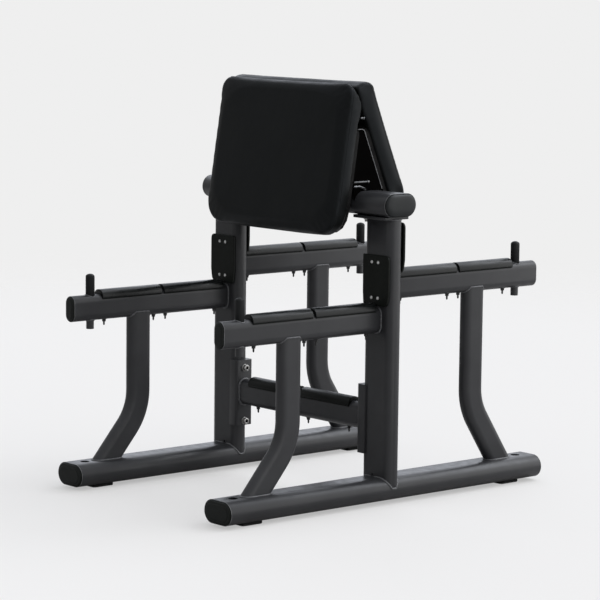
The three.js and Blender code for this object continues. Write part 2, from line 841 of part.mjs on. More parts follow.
// Crossbar over the uprights
addPiece(bench, "crossbar", crossbarTube(), "frame", [0, 0, crossbar.height]);
for (const [sideName, side] of [["left", -1], ["right", 1]]) {
  const cap = domedCap(crossbar.high, crossbar.wide).rotateY((side * Math.PI) / 2);
  const place = [side * crossbar.halfLength, 0, crossbar.height];
  addPiece(bench, `crossbar_cap_${sideName}`, cap, "plastic", place);
}

// Lower rail, its wear strips and its bolts
addPiece(bench, "lower_rail", lowerRail(), "frame", [0, 0, rail.height]);
for (const [sideName, side] of [["left", -1], ["right", 1]]) {
  const length = rail.stripTo - rail.stripFrom;
  const geometry = wearStrip(rail.wide, strip.crown.rail, rail.halfWrap, length);
  geometry.rotateX(Math.PI / 2).rotateZ((side * Math.PI) / 2);
  const centre = rail.height + (rail.high - rail.wide) / 2;
  const place = [side * rail.stripFrom, 0, centre];
  addPiece(bench, `rail_strip_${sideName}`, geometry, "strip", place);
  for (const [levelName, height] of Object.entries(saddle.boltHeights)) {
    const screw = socketScrew().rotateY((side * Math.PI) / 2);
    const face = side * (uprightSpacing / 2 - saddle.face);
    addPiece(bench, `rail_bolt_${levelName}_${sideName}`, screw, "zinc", [face, 0, height]);
  }
}

// Pads, their boards and the brackets between them
const frontGroup = padGroup(frontPad, "front");
addPiece(frontGroup, "pad_front", frontCushion(), "vinyl");
addPiece(frontGroup, "pad_board_front", padBoard(frontPad), "board");
const backGroup = padGroup(backPad, "back");
addPiece(backGroup, "pad_back", cushion(backPad), "vinyl");
addPiece(backGroup, "pad_board_back", padBoard(backPad), "board");
for (const [sideName, side] of [["left", -1], ["right", 1]]) {
  const place = [side * (padBracket.at + padBracket.thick / 2), 0, 0];
  addPiece(bench, `pad_bracket_${sideName}`, bracketPlate(-side), "frame", place);
}

export default bench;
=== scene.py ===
import bpy
import bmesh
from math import cos, hypot, pi, radians, sin, sqrt, tan
from mathutils import Matrix, Vector, noise
from mathutils.bvhtree import BVHTree


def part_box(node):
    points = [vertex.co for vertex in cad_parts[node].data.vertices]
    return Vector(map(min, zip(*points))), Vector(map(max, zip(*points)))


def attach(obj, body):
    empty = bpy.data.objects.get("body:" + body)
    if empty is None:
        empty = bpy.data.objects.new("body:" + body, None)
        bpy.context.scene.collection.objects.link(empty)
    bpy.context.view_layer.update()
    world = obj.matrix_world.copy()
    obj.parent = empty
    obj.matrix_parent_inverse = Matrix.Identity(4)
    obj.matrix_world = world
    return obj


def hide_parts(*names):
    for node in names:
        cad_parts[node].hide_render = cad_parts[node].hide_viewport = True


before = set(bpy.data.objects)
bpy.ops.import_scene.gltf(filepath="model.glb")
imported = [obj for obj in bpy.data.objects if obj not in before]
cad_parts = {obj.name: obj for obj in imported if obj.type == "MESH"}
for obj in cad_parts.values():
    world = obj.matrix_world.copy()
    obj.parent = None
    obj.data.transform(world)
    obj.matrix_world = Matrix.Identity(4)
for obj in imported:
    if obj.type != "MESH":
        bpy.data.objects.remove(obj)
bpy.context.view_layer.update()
print("Frame loaded:", len(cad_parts), "nodes")

mm = 0.001
sides = {"left": -1, "right": 1}
ends = {"front": -1, "back": 1}

# Sizes that several pieces share, in millimetres
bench = {
    "uprightAt": 350,     # from the middle to each upright's axis
    "tubeEnd": 607,       # from the middle to the cut ends of base tubes and arms
    "wall": 3,
    "base": (120, 68),    # width and height of each flat oval
    "baseCentre": 43,
    "upright": (122, 51),
    "crossbarCentre": 872.9,
    "arm": (42, 77),
    "armCentre": {"front": 538.35, "back": 632.5},
    "rail": (42, 79),
    "railCentre": 244.5,
    "edge": 0.8,          # rounding of cut plates
    "gap": 0.3,           # left between pieces that lie on each other
    "cope": 0.4,          # how much larger a coped end is than the tube it fits
}
baseTop = bench["baseCentre"] + bench["base"][1] / 2


def uprightX(side):
    return sides[side] * bench["uprightAt"]


def addObject(name, data):
    thing = bpy.data.objects.new(name, data)
    bpy.context.collection.objects.link(thing)
    return thing


def setAll(thing, **settings):
    for name, setting in settings.items():
        setattr(thing, name, setting)
    return thing


# Camera at the photograph's angle
photoView = {
    "azimuth": 49.404,
    "elevation": 7.164,
    "roll": 0.653,
    "lens": 161.22,
    "sensor": 36,
    "farthest": 60,
    "place": (6.0540, -5.2048, 1.5608),
}


def makeCamera():
    azimuth, elevation, roll = (radians(photoView[turn]) for turn in ("azimuth", "elevation", "roll"))
    back = Vector((sin(azimuth) * cos(elevation),
                   -cos(azimuth) * cos(elevation),
                   sin(elevation)))
    right = Vector((cos(azimuth), sin(azimuth), 0))
    up = back.cross(right)
    rolledRight = right * cos(roll) + up * sin(roll)
    rolledUp = up * cos(roll) - right * sin(roll)
    turn = Matrix((rolledRight, rolledUp, back)).transposed()
    data = bpy.data.cameras.new("photoCamera")
    data.lens = photoView["lens"]
    data.sensor_width = photoView["sensor"]
    data.clip_end = photoView["farthest"]
    camera = addObject("photoCamera", data)
    camera.matrix_world = Matrix.Translation(photoView["place"]) @ turn.to_4x4()
    bpy.context.scene.camera = camera


makeCamera()
print("Camera placed")


# Shape helpers. Everything here is in millimetres until makePiece turns it into metres.
def ovalOutline(size, steps=18):
    wide, high = size
    radius = min(wide, high) / 2
    sideways = max(wide - high, 0) / 2
    upwards = max(high - wide, 0) / 2
    start = -pi / 2 if wide > high else 0
    corners = []
    for end in (1, -1):
        for i in range(steps + 1):
            angle = start + (0 if end > 0 else pi) + pi * i / steps
            corners.append((end * sideways + radius * cos(angle),
                            end * upwards + radius * sin(angle)))
    return holdStraights(corners)


# Adds a point close to each end of a long straight, so that smooth shading stays flat there
def holdStraights(points, longest=12, keep=1.5):
    held = []
    for i, (x, y) in enumerate(points):
        nextX, nextY = points[(i + 1) % len(points)]
        span = hypot(nextX - x, nextY - y)
        held.append((x, y))
        if span > longest:
            for along in (keep / span, 1 - keep / span):
                held.append((x + (nextX - x) * along, y + (nextY - y) * along))
    return held


def narrowed(size, by):
    return [length - 2 * by for length in size]


def circleOutline(diameter, steps=32):
    radius = diameter / 2
    return [(radius * cos(2 * pi * i / steps), radius * sin(2 * pi * i / steps))
            for i in range(steps)]


# The radii run anticlockwise from the lower right corner
def roundedBoxOutline(left, right, bottom, top, radii, steps=8):
    corners = zip((right, right, left, left), (bottom, top, top, bottom), radii)
    points = []
    for quarter, (x, y, radius) in enumerate(corners):
        centreX = x - radius if x == right else x + radius
        centreY = y + radius if y == bottom else y - radius
        for i in range(steps + 1):
            angle = pi / 2 * (quarter - 1 + i / steps)
            points.append((centreX + radius * cos(angle), centreY + radius * sin(angle)))
    return points


# Each of these gives the place of an outline's u and v, and of w, which runs along the axis from
# start, or against it where the sign is -1
def alongX(y=0, z=0, start=0, sign=1):
    return lambda u, v, w: (start + sign * w, y + u, z + v)


def alongY(x=0, z=0, start=0, sign=1):
    return lambda u, v, w: (x + u, start + sign * w, z + v)


def alongZ(x=0, y=0, start=0, sign=1):
    return lambda u, v, w: (x + u, y + v, start + sign * w)


def spread(outline, w, place):
    return [place(u, v, w) for u, v in outline]


def skin(rings, closed=False):
    count = len(rings[0])
    points = [point for ring in rings for point in ring]
    faces = []
    for r in range(len(rings) if closed else len(rings) - 1):
        above = (r + 1) % len(rings)
        for i in range(count):
            j = (i + 1) % count
            faces.append((r * count + i, r * count + j, above * count + j, above * count + i))
    if not closed:
        faces.append(tuple(range(count))[::-1])
        faces.append(tuple((len(rings) - 1) * count + i for i in range(count)))
    return points, faces


def prism(outline, start, end, place):
    return skin([spread(outline, start, place), spread(outline, end, place)])


# Turned shape: the profile lists (radius, height), and the heights run along w
def turned(profile, place, steps=28, least=0.02):
    return skin([spread(circleOutline(2 * max(radius, least), steps), height, place)
                 for radius, height in profile])


def makePiece(name, shape, mergeWithin=1e-6):
    points, faces = shape
    mesh = bpy.data.meshes.new(name)
    mesh.from_pydata([Vector(p) * mm for p in points], [], faces)
    work = bmesh.new()
    work.from_mesh(mesh)
    bmesh.ops.remove_doubles(work, verts=work.verts, dist=mergeWithin)
    bmesh.ops.recalc_face_normals(work, faces=work.faces)
    work.to_mesh(mesh)
    work.free()
    return addObject(name, mesh)


def applyModifiers(piece):
    view = bpy.context.evaluated_depsgraph_get()
    made = bpy.data.meshes.new_from_object(piece.evaluated_get(view))
    piece.modifiers.clear()
    piece.data = made
    return piece


def addModifier(piece, kind, **settings):
    return setAll(piece.modifiers.new(kind.lower(), kind), **settings)


def modify(piece, kind, **settings):
    addModifier(piece, kind, **settings)
    return applyModifiers(piece)


def carve(piece, *cutters):
    for cutter in cutters:
        addModifier(piece, "BOOLEAN", operation="DIFFERENCE", solver="EXACT", object=cutter)
    bpy.context.view_layer.update()
    applyModifiers(piece)
    for cutter in cutters:
        bpy.data.objects.remove(cutter)
    return piece


def roundEdges(piece, width, steps=2, angle=40):
    return modify(piece, "BEVEL", width=width * mm, segments=steps,
                  limit_method="ANGLE", angle_limit=radians(angle))


def joinPieces(pieces, name):
    work = bmesh.new()
    for piece in pieces:
        work.from_mesh(piece.data)
    mesh = bpy.data.meshes.new(name)
    work.to_mesh(mesh)
    work.free()
    for piece in pieces:
        bpy.data.objects.remove(piece)
    return addObject(name, mesh)


def addToBench(piece, finish, slot, *nodes, sharpAngle=35):
    piece.data.materials.clear()
    piece.data.materials.append(finishes[finish])
    piece.data.shade_smooth()
    piece.data.set_sharp_from_angle(angle=radians(sharpAngle))
    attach(piece, "root")
    if nodes:
        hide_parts(*nodes)


def addShape(name, shape, *dress, **options):
    addToBench(makePiece(name, shape), *dress, **options)


# Finishes. Colours are linear light; scales are in repeats per metre. Each look says where it
# differs from plainLook.
plainLook = {
    "streak": 300, "grain": 2500, "grainDepth": 0.03, "specular": 0.5,
    "metallic": 0, "coat": 0, "coatRoughness": 0.25,
}
looks = {
    "powderCoat": {
        "colour": (0.0292, 0.0297, 0.0318), "second": (0.038, 0.0385, 0.0412), "patch": 9,
        "roughness": (0.3, 0.42), "streak": 40,
        "grain": 900, "grainDepth": 0.05, "specular": 0.36, "coat": 0.1,
    },
    # The beads are powder coated like the frame; their lighter colour is a painted highlight for the glints
    # they catch
    "weldHighlight": {
        "colour": (0.060, 0.061, 0.065), "second": (0.125, 0.127, 0.133), "patch": 110,
        "roughness": (0.24, 0.40), "grain": 1500, "grainDepth": 0.05, "specular": 0.6, "coat": 0.2,
    },
    "capPlastic": {
        "colour": (0.0085, 0.0100, 0.0088), "second": (0.0125, 0.0144, 0.0130), "patch": 40,
        "roughness": (0.34, 0.5), "streak": 80, "grain": 1800, "specular": 0.2,
    },
    "domePlastic": {
        "colour": (0.0120, 0.0138, 0.0142), "second": (0.0165, 0.0186, 0.0195), "patch": 25,
        "roughness": (0.34, 0.48), "streak": 80, "grain": 1800, "specular": 0.32,
    },
    "sleeveRubber": {
        "colour": (0.0100, 0.0108, 0.0112), "second": (0.0140, 0.0148, 0.0152), "patch": 40,
        "roughness": (0.48, 0.62), "streak": 90,
        "grain": 1400, "grainDepth": 0.08, "specular": 0.22,
    },
    "stripRubber": {
        "colour": (0.0024, 0.0031, 0.0030), "second": (0.0075, 0.0088, 0.0086), "patch": 150,
        "roughness": (0.22, 0.46), "streak": 260, "stretch": (1, 0.07, 1),
        "grain": 1300, "grainDepth": 0.1, "specular": 0.36,
    },
    "railRubber": {
        "colour": (0.0030, 0.0038, 0.0032), "second": (0.0060, 0.0072, 0.0062), "patch": 150,
        "roughness": (0.26, 0.46), "streak": 260, "stretch": (0.07, 1, 1),
        "grain": 1300, "grainDepth": 0.1, "specular": 0.15,
    },
    "guardPlastic": {
        "colour": (0.0050, 0.0062, 0.0050), "second": (0.0080, 0.0098, 0.0080), "patch": 18,
        "roughness": (0.42, 0.56), "streak": 60,
        "grain": 1500, "grainDepth": 0.06, "specular": 0.14,
    },
    "board": {
        "colour": (0.006, 0.006, 0.0062), "second": (0.011, 0.0105, 0.010), "patch": 60,
        "roughness": (0.6, 0.8), "streak": 25, "grain": 500, "grainDepth": 0.12, "specular": 0.15,
    },
    # Near-black colour, painted shade: on the bracket plates in the shaded gap between the pads, and on the
    # floor of each socket
    "paintedShadeBlack": {
        "colour": (0.0006, 0.0005, 0.0005), "second": (0.0016, 0.0013, 0.0010), "patch": 30,
        "roughness": (0.6, 0.75), "streak": 60, "grain": 900, "grainDepth": 0.08, "specular": 0.015,
    },
    # Light colour on the tube rims, partly worn paint and partly a painted highlight, and on the bracket
    # plate's edge, a painted highlight
    "edgeWearAndHighlight": {
        "colour": (0.16, 0.162, 0.168), "second": (0.26, 0.262, 0.268), "patch": 60,
        "roughness": (0.25, 0.4), "grain": 1500, "grainDepth": 0.04, "metallic": 0.3,
    },
    "footRubber": {
        "colour": (0.008, 0.008, 0.0085), "second": (0.014, 0.014, 0.0145), "patch": 60,
        "roughness": (0.6, 0.8), "streak": 90, "grain": 1200, "grainDepth": 0.1, "specular": 0.25,
    },
    "dullZinc": {
        "colour": (0.10, 0.105, 0.11), "second": (0.2, 0.2, 0.2), "patch": 160,
        "roughness": (0.3, 0.45), "metallic": 1.0,
    },
    # Near-white colour with little metal: a painted glint on the guard screw heads
    "paintedGlintZinc": {
        "colour": (0.70, 0.70, 0.68), "second": (0.86, 0.86, 0.84), "patch": 220,
        "roughness": (0.3, 0.45), "streak": 400, "metallic": 0.15,
    },
    "zinc": {
        "colour": (0.42, 0.42, 0.41), "second": (0.58, 0.57, 0.55), "patch": 220,
        "roughness": (0.22, 0.4), "streak": 400, "metallic": 1.0,
    },
    "darkSteel": {
        "colour": (0.03, 0.03, 0.031), "second": (0.05, 0.05, 0.05), "patch": 200,
        "roughness": (0.3, 0.45), "specular": 0.4, "metallic": 0.6,
    },
}
grainHeight = 0.3
noiseSpan = (0.3, 0.7)      # a noise texture mostly stays between these


# An input is a value, or the socket that feeds it
def setInputs(tree, node, inputs):
    for name, value in inputs.items():
        if isinstance(value, bpy.types.NodeSocket):
            tree.links.new(value, node.inputs[name])
        else:
            node.inputs[name].default_value = value
    return node


def addNode(tree, kind, inputs={}, **settings):
    node = setAll(tree.nodes.new(f"ShaderNode{kind}"), **settings)
    return setInputs(tree, node, inputs)


def ranged(tree, value, low, high):
    spans = {"From Min": noiseSpan[0], "From Max": noiseSpan[1], "To Min": low, "To Max": high}
    return addNode(tree, "MapRange", {"Value": value, **spans}).outputs["Result"]


def noiseAt(tree, where, scale, detail=3):
    return addNode(tree, "TexNoise", {"Vector": where, "Scale": scale, "Detail": detail}).outputs["Fac"]


def bumped(tree, height, strength, distance, **under):
    bump = addNode(tree, "Bump", {"Height": height, "Strength": strength, "Distance": distance * mm, **under})
    return bump.outputs["Normal"]


def newLook(name):
    look = bpy.data.materials.new(name)
    look.use_nodes = True
    return look, look.node_tree


def startLook(name, plan):
    look, tree = newLook(name)
    where = addNode(tree, "TexCoord").outputs["Object"]
    if "stretch" in plan:
        stretched = addNode(tree, "VectorMath", {0: where, 1: plan["stretch"]}, operation="MULTIPLY")
        where = stretched.outputs["Vector"]
    patches = ranged(tree, noiseAt(tree, where, plan["patch"]), 0, 1)
    colours = {"Factor": patches, "A": (*plan["colour"], 1), "B": (*plan["second"], 1)}
    shader = setInputs(tree, tree.nodes["Principled BSDF"], {
        "Base Color": addNode(tree, "Mix", colours, data_type="RGBA").outputs["Result"],
        "Roughness": ranged(tree, noiseAt(tree, where, plan["streak"]), *plan["roughness"]),
        "Specular IOR Level": plan["specular"],
        "Metallic": plan["metallic"],
        "Coat Weight": plan["coat"],
        "Coat Roughness": plan["coatRoughness"],
    })
    return look, tree, shader, where


def makeLook(name, plan):
    look, tree, shader, where = startLook(name, plan)
    grain = noiseAt(tree, where, plan["grain"], 2)
    setInputs(tree, shader, {"Normal": bumped(tree, grain, plan["grainDepth"], grainHeight)})
    return look


# Upholstery vinyl: pebbled grain from cells, with soft smears where it is handled
vinylPlan = {
    "colour": (0.0056, 0.0061, 0.0056),
    "second": (0.0086, 0.0092, 0.0087),
    "patch": 6,
    "roughness": (0.34, 0.46),
    "streak": 14,
    "specular": 0.16,
    "tint": (0.88, 0.96, 1.08),
    "cells": 1100,
    "cellDepth": 0.16,
    "cellHeight": 0.2,
    "crease": 45,
    "creaseDepth": 0.05,
    "creaseHeight": 1,
}


def makeVinyl(plan):
    look, tree, shader, where = startLook("vinyl", plan)
    cells = addNode(tree, "TexVoronoi", {"Vector": where, "Scale": plan["cells"]}, feature="DISTANCE_TO_EDGE")
    pebbles = bumped(tree, cells.outputs["Distance"], plan["cellDepth"], plan["cellHeight"])
    creases = bumped(tree, noiseAt(tree, where, plan["crease"], 4), plan["creaseDepth"],
                     plan["creaseHeight"], Normal=pebbles)
    setInputs(tree, shader, {"Normal": creases, "Specular Tint": (*plan["tint"], 1)})
    return look


finishes = {name: makeLook(name, {**plainLook, **plan}) for name, plan in looks.items()}
finishes["vinyl"] = makeVinyl({**plainLook, **vinylPlan})
print("Materials made:", len(finishes))


# Flat oval tubes
def tubeShape(size, start, end, place, lip=0.8):
    stations = [
        (lip, start), (0.3 * lip, start + 0.3 * lip), (0, start + lip),
        (0, end - lip), (0.3 * lip, end - 0.3 * lip), (lip, end),
        (bench["wall"], end), (bench["wall"], start),
    ]
    return skin([spread(ovalOutline(narrowed(size, inset)), at, place)
                 for inset, at in stations], closed=True)


# Solid of a base tube or an arm, which cuts another tube to fit over it
def copeCutter(kind, side, centre, reach):
    outline = ovalOutline(narrowed(bench[kind], -bench["cope"] / 2))
    return makePiece("cope", prism(outline, -reach, reach, alongY(uprightX(side), centre)))


# Floor anchor holes. Each row is a diameter and the heights that its drill runs between.
anchor = {"at": 555, "holes": [(28, 50, 100), (14, -10, 40)]}


def makeBaseTube(side):
    x = uprightX(side)
    shape = tubeShape(bench["base"], -bench["tubeEnd"], bench["tubeEnd"], alongY(x, bench["baseCentre"]))
    tube = makePiece(f"baseTube_{side}", shape)
    carve(tube, *[makePiece("hole", prism(circleOutline(wide), low, high, alongZ(x, sign * anchor["at"])))
                  for sign in ends.values() for wide, low, high in anchor["holes"]])
    addToBench(tube, "powderCoat", "powder_coat", f"base_tube_{side}")


topPlate = {"inward": 85, "outward": 55, "halfDeep": 49, "thick": 8, "corner": 9, "lap": 0.5}
footReach = 100     # half length of the cut that fits an upright over its base tube
ventHole = {"diameter": 6, "height": 83, "inward": 8, "from": -40, "to": -10}


def makeUpright(side):
    sign, x = sides[side], uprightX(side)
    low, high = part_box(f"upright_{side}")
    plateTop = high.z / mm
    plateBottom = plateTop - topPlate["thick"]
    shape = tubeShape(bench["upright"], low.z / mm, plateBottom + topPlate["lap"], alongZ(x))
    tube = makePiece(f"upright_{side}", shape)
    vent = prism(circleOutline(ventHole["diameter"]), ventHole["from"], ventHole["to"],
                 alongY(x - sign * ventHole["inward"], ventHole["height"]))
    carve(tube, copeCutter("base", side, bench["baseCentre"], footReach), makePiece("vent", vent))
    edges = sorted((x - sign * topPlate["inward"], x + sign * topPlate["outward"]))
    outline = roundedBoxOutline(*edges, -topPlate["halfDeep"], topPlate["halfDeep"], [topPlate["corner"]] * 4)
    plate = roundEdges(makePiece("plate", prism(outline, plateBottom, plateTop, alongZ())), bench["edge"])
    piece = joinPieces([tube, plate], f"uprightPost_{side}")
    addToBench(piece, "powderCoat", "powder_coat", f"upright_{side}")


def makeCrossbar():
    low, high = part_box("crossbar")
    shape = tubeShape(bench["base"], low.x / mm, high.x / mm, alongX(0, bench["crossbarCentre"]))
    addShape("crossbarTube", shape, "powderCoat", "powder_coat", "crossbar")


peg = {"at": 536, "stub": 23, "below": 25, "stubTop": -20, "edge": 0.8, "face": 4,
       "sleeve": 27, "above": 62.5, "sunk": 6, "hollow": 3, "crown": 9, "crownSteps": 8}


def armUnderside(end, x):
    wide, high = bench["arm"]
    radius = wide / 2
    return bench["armCentre"][end] - (high - wide) / 2 - sqrt(max(radius * radius - x * x, 0))


def makeArm(side, end):
    x, sign, centre = uprightX(side), ends[end], bench["armCentre"][end]
    span = sorted((sign * (bench["upright"][1] / 2 + bench["gap"]), sign * bench["tubeEnd"]))
    tube = makePiece("tube", tubeShape(bench["arm"], *span, alongY(x, centre)))
    bottom = centre - bench["arm"][1] / 2 - peg["below"]
    radius, edge = peg["stub"] / 2, peg["edge"]
    profile = [(radius - peg["face"], bottom), (radius - edge, bottom), (radius, bottom + edge),
               (radius, centre + peg["stubTop"])]
    stub = makePiece("stub", turned(profile, alongZ(x, sign * peg["at"])))
    piece = joinPieces([tube, stub], f"armTube_{end}_{side}")
    addToBench(piece, "powderCoat", "powder_coat", f"arm_{end}_{side}")


strut = {"size": (42, 78), "top": 357.5, "foot": 474, "radius": 170,
         "bend": {"front": 40.3, "back": 33.8}, "steps": 14,
         "intoArm": 19, "intoBase": 70, "armReach": 600,
         "block": (100, 700), "blockBottom": -200}     # cuts the foot off at the base tube's top


def strutStations(end):
    bend = radians(strut["bend"][end])
    bendOut = strut["radius"] * (1 - cos(bend))
    slope = (strut["foot"] - strut["top"] - bendOut) / sin(bend)
    bendTop = baseTop + slope * cos(bend) + strut["radius"] * sin(bend)
    stations = [(strut["top"], armUnderside(end, 0) + strut["intoArm"], 0)]
    for i in range(strut["steps"] + 1):
        turn = bend * i / strut["steps"]
        stations.append((strut["top"] + strut["radius"] * (1 - cos(turn)),
                         bendTop - strut["radius"] * sin(turn), turn))
    out, height, turn = stations[-1]
    past = slope + strut["intoBase"]
    stations.append((out + past * sin(bend), height - past * cos(bend), turn))
    return stations


def makeStrut(side, end):
    x, sign = uprightX(side), ends[end]
    rings = []
    for inset, stations in ((0, strutStations(end)), (bench["wall"], strutStations(end)[::-1])):
        outline = ovalOutline(narrowed(strut["size"], inset))
        for out, height, turn in stations:
            rings.append([(x + u, sign * (out + v * cos(turn)), height + v * sin(turn))
                          for u, v in outline])
    piece = makePiece(f"strutTube_{end}_{side}", skin(rings, closed=True))
    halfWide, halfLong = strut["block"]
    block = roundedBoxOutline(x - halfWide, x + halfWide, -halfLong, halfLong, [1] * 4)
    carve(piece, copeCutter("arm", side, bench["armCentre"][end], strut["armReach"]),
          makePiece("below", prism(block, strut["blockBottom"], baseTop + bench["cope"] / 2, alongZ())))
    addToBench(piece, "powderCoat", "powder_coat", f"strut_{end}_{side}")


saddle = {"face": 277, "reach": 312, "halfDeep": 31.5, "bottom": 140, "top": 343,
          "corner": 9, "cornerSteps": 8, "seatSteps": 20}


# U section that wraps the upright's rounded edge
def saddleOutline(sign):
    wide, deep = bench["upright"]
    seatCentre, seatRadius = bench["uprightAt"] - (wide - deep) / 2, deep / 2 + bench["gap"]
    face, reach, depth, corner = (saddle[name] for name in ("face", "reach", "halfDeep", "corner"))
    outer = [(reach, -depth)]
    for i in range(saddle["cornerSteps"] + 1):
        angle = -pi / 2 * i / saddle["cornerSteps"]
        outer.append((face + corner + corner * sin(angle), -depth + corner - corner * cos(angle)))
    outer += [(u, -v) for u, v in outer[::-1]]
    turns = [pi * i / saddle["seatSteps"] for i in range(saddle["seatSteps"] + 1)]
    inner = [(seatCentre - seatRadius * sin(turn), seatRadius * cos(turn)) for turn in turns]
    inner = [(reach, seatRadius)] + inner + [(reach, -seatRadius)]
    return [(sign * u, v) for u, v in outer + inner]


def makeLowerRail():
    length = saddle["face"] + 1
    bar = prism(ovalOutline(bench["rail"]), -length, length, alongX(0, bench["railCentre"]))
    pieces = [makePiece("bar", bar)]
    for sign in sides.values():
        shape = prism(saddleOutline(sign), saddle["bottom"], saddle["top"], alongZ())
        pieces.append(roundEdges(makePiece("saddle", shape), bench["edge"]))
    addToBench(joinPieces(pieces, "lowerRailBar"), "powderCoat", "powder_coat", "lower_rail")


for side in sides:
    makeBaseTube(side)
    makeUpright(side)
    for end in ends:
        makeArm(side, end)
        makeStrut(side, end)
makeCrossbar()
makeLowerRail()
print("Frame tubes made")


# Every open tube end on one side: its kind and label, the tube's size, and the way out
def tubeEnds(side):
    found = []
    for end, sign in ends.items():
        for kind, centre in (("base", bench["baseCentre"]), ("arm", bench["armCentre"][end])):
            outwards = alongY(uprightX(side), centre, sign * bench["tubeEnd"], sign)
            found.append((kind, f"{end}_{side}", bench[kind], outwards))
    barEnd = sides[side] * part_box("crossbar")[1].x / mm
    outwards = alongX(0, bench["crossbarCentre"], barEnd, sides[side])
    return found + [("crossbar", side, bench["base"], outwards)]


# End caps: a plug's head, a little smaller than its tube. Each step is (inset, height).
capProfiles = {
    "base": [(2.4, -1), (2.4, 0.8), (2.6, 2.6), (3.4, 3.9), (4.8, 4.8), (8.8, 5.7), (9.4, 5.4), (10.2, 5.5),
             (11.4, 6.8), (12.4, 7.2), (16, 7.2)],
    "arm": [(1.9, -1), (1.9, 0.8), (2.1, 2.6), (2.8, 3.8), (4.0, 4.6), (5.6, 5.0), (6.1, 4.6), (6.9, 4.7),
            (7.9, 5.8), (8.8, 6.2), (12, 6.2)],
    "crossbar": [(2.2, -1), (2.2, 1.0), (2.6, 3.4), (4.0, 5.8), (7.0, 7.9), (11, 9.4), (17, 10.4),
                 (25, 10.8)],
}
capFinishes = {"base": "capPlastic", "arm": "capPlastic", "crossbar": "domePlastic"}


def makeCap(kind, label, size, place):
    rings = [spread(ovalOutline(narrowed(size, inset)), height, place) for inset, height in capProfiles[kind]]
    addShape(f"{kind}Cap_{label}", skin(rings), capFinishes[kind], "end_cap",
             f"{kind}_cap_{label}", sharpAngle=50)


for side in sides:
    for tubeEnd in tubeEnds(side):
        makeCap(*tubeEnd)
print("End caps made")


# Rubber sleeves on the pegs
def makeSleeve(side, end):
    armTop = bench["armCentre"][end] + bench["arm"][1] / 2
    shoulder = armTop + peg["above"] - peg["crown"]
    foot = armTop - peg["sunk"]
    radius = peg["sleeve"] / 2
    profile = [(radius - peg["hollow"], foot), (radius - peg["edge"], foot),
               (radius, foot + 1), (radius, shoulder)]
    for i in range(1, peg["crownSteps"] + 1):
        angle = pi / 2 * i / peg["crownSteps"]
        profile.append((radius * cos(angle), shoulder + peg["crown"] * sin(angle)))
    place = alongZ(uprightX(side), ends[end] * peg["at"])
    addShape(f"pegSleeve_{end}_{side}", turned(profile, place), "sleeveRubber", "rubber",
             f"peg_sleeve_{end}_{side}", sharpAngle=50)


# Wear strips bent over the rounded tops of the arms and the rail
strip = {
    "thick": 4.5,           # at its lower edges
    "fullness": 0.62,       # how square its shoulders are
    "wrap": {"arm": 66, "rail": 75},
    "crown": {"arm": 13.5, "rail": 11.5},   # thickness over the tube's top
    "finish": {"arm": "stripRubber", "rail": "railRubber"},
    "steps": 22,
    "soft": 1,
    "softSteps": 3,
    # lip: radius of the black rods painted as the shadow line under each lower edge
    "lip": 1.3,
    "shadowLower": 3,          # degrees from the strip's edge round to its painted shadow rod
    "shadowInset": 1,
    "shadowSteps": 8,
}


def stripOutline(tubeWide, wrap, crown):
    inner = tubeWide / 2 + bench["gap"]
    outer = inner + strip["thick"]
    top = inner + crown
    reach = radians(wrap)
    side, edge = outer * sin(reach), outer * cos(reach)
    shoulder = edge + (top - edge) * strip["fullness"]
    flat = side * strip["fullness"]
    half = []
    for i in range(strip["steps"] // 2 + 1):
        t = 2 * i / strip["steps"]
        start, leaving, arriving, end = (1 - t) ** 3, 3 * t * (1 - t) ** 2, 3 * t * t * (1 - t), t ** 3
        half.append(((start + leaving) * side + arriving * flat,
                     start * edge + leaving * shoulder + (arriving + end) * top))
    over = [(-across, rise) for across, rise in half] + half[-2::-1]
    angles = [reach * (2 * i / strip["steps"] - 1) for i in range(strip["steps"] + 1)]
    under = [(inner * sin(a), inner * cos(a)) for a in angles[::-1]]
    return over + under


def makeStrip(name, node, kind, place):
    low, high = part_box(node)
    axis = 1 if kind == "arm" else 0
    start, end = low[axis] / mm, high[axis] / mm
    wrap = strip["wrap"][kind]
    tubeWide = bench[kind][0]
    outline = stripOutline(tubeWide, wrap, strip["crown"][kind])
    piece = makePiece(name, prism(outline, start, end, place))
    roundEdges(piece, strip["soft"], strip["softSteps"])
    addToBench(piece, strip["finish"][kind], "wear_strip", node)

    # Black rod along each lower edge where it meets the tube, painted as the shadow line there
    reach = radians(wrap + strip["shadowLower"])
    out = tubeWide / 2 + strip["lip"]
    start, end = start + strip["shadowInset"], end - strip["shadowInset"]
    shadowRods = []
    for sign in (-1, 1):
        corner = [(sign * out * sin(reach) + u, out * cos(reach) + v)
                  for u, v in circleOutline(2 * strip["lip"], strip["shadowSteps"])]
        shadowRods.append(makePiece("lip", prism(corner, start, end, place)))
    addToBench(joinPieces(shadowRods, f"{name}_lips"), "guardPlastic", "wear_strip")


for side in sides:
    for end in ends:
        makeSleeve(side, end)
        centre = bench["armCentre"][end] + (bench["arm"][1] - bench["arm"][0]) / 2
        for which in ("inner", "outer"):
            makeStrip(f"armStrip_{which}_{end}_{side}", f"arm_strip_{which}_{end}_{side}", "arm",
                      alongY(uprightX(side), centre))
    centre = bench["railCentre"] + (bench["rail"][1] - bench["rail"][0]) / 2
    makeStrip(f"railStrip_{side}", f"rail_strip_{side}", "rail", alongX(0, centre))
print("Sleeves and wear strips made")


# Screws. Each profile is (radius, height), with the height running out of the head.
guardScrews = {
    "across": [336.5, 363.5],
    "rise": [22.5, 126],
    "head": [(3.4, -0.5), (4.4, -0.5), (4.4, 1.17), (4.048, 2.08), (3.08, 2.6), (2.4, 2.6),
             (2.2, 2.4), (2.2, 1.2)],
    "seat": [(5, -0.6), (6.2, -0.6), (6.2, 0.35), (5.9, 0.5), (3.9, 0.5)],
    "steps": 24,
}


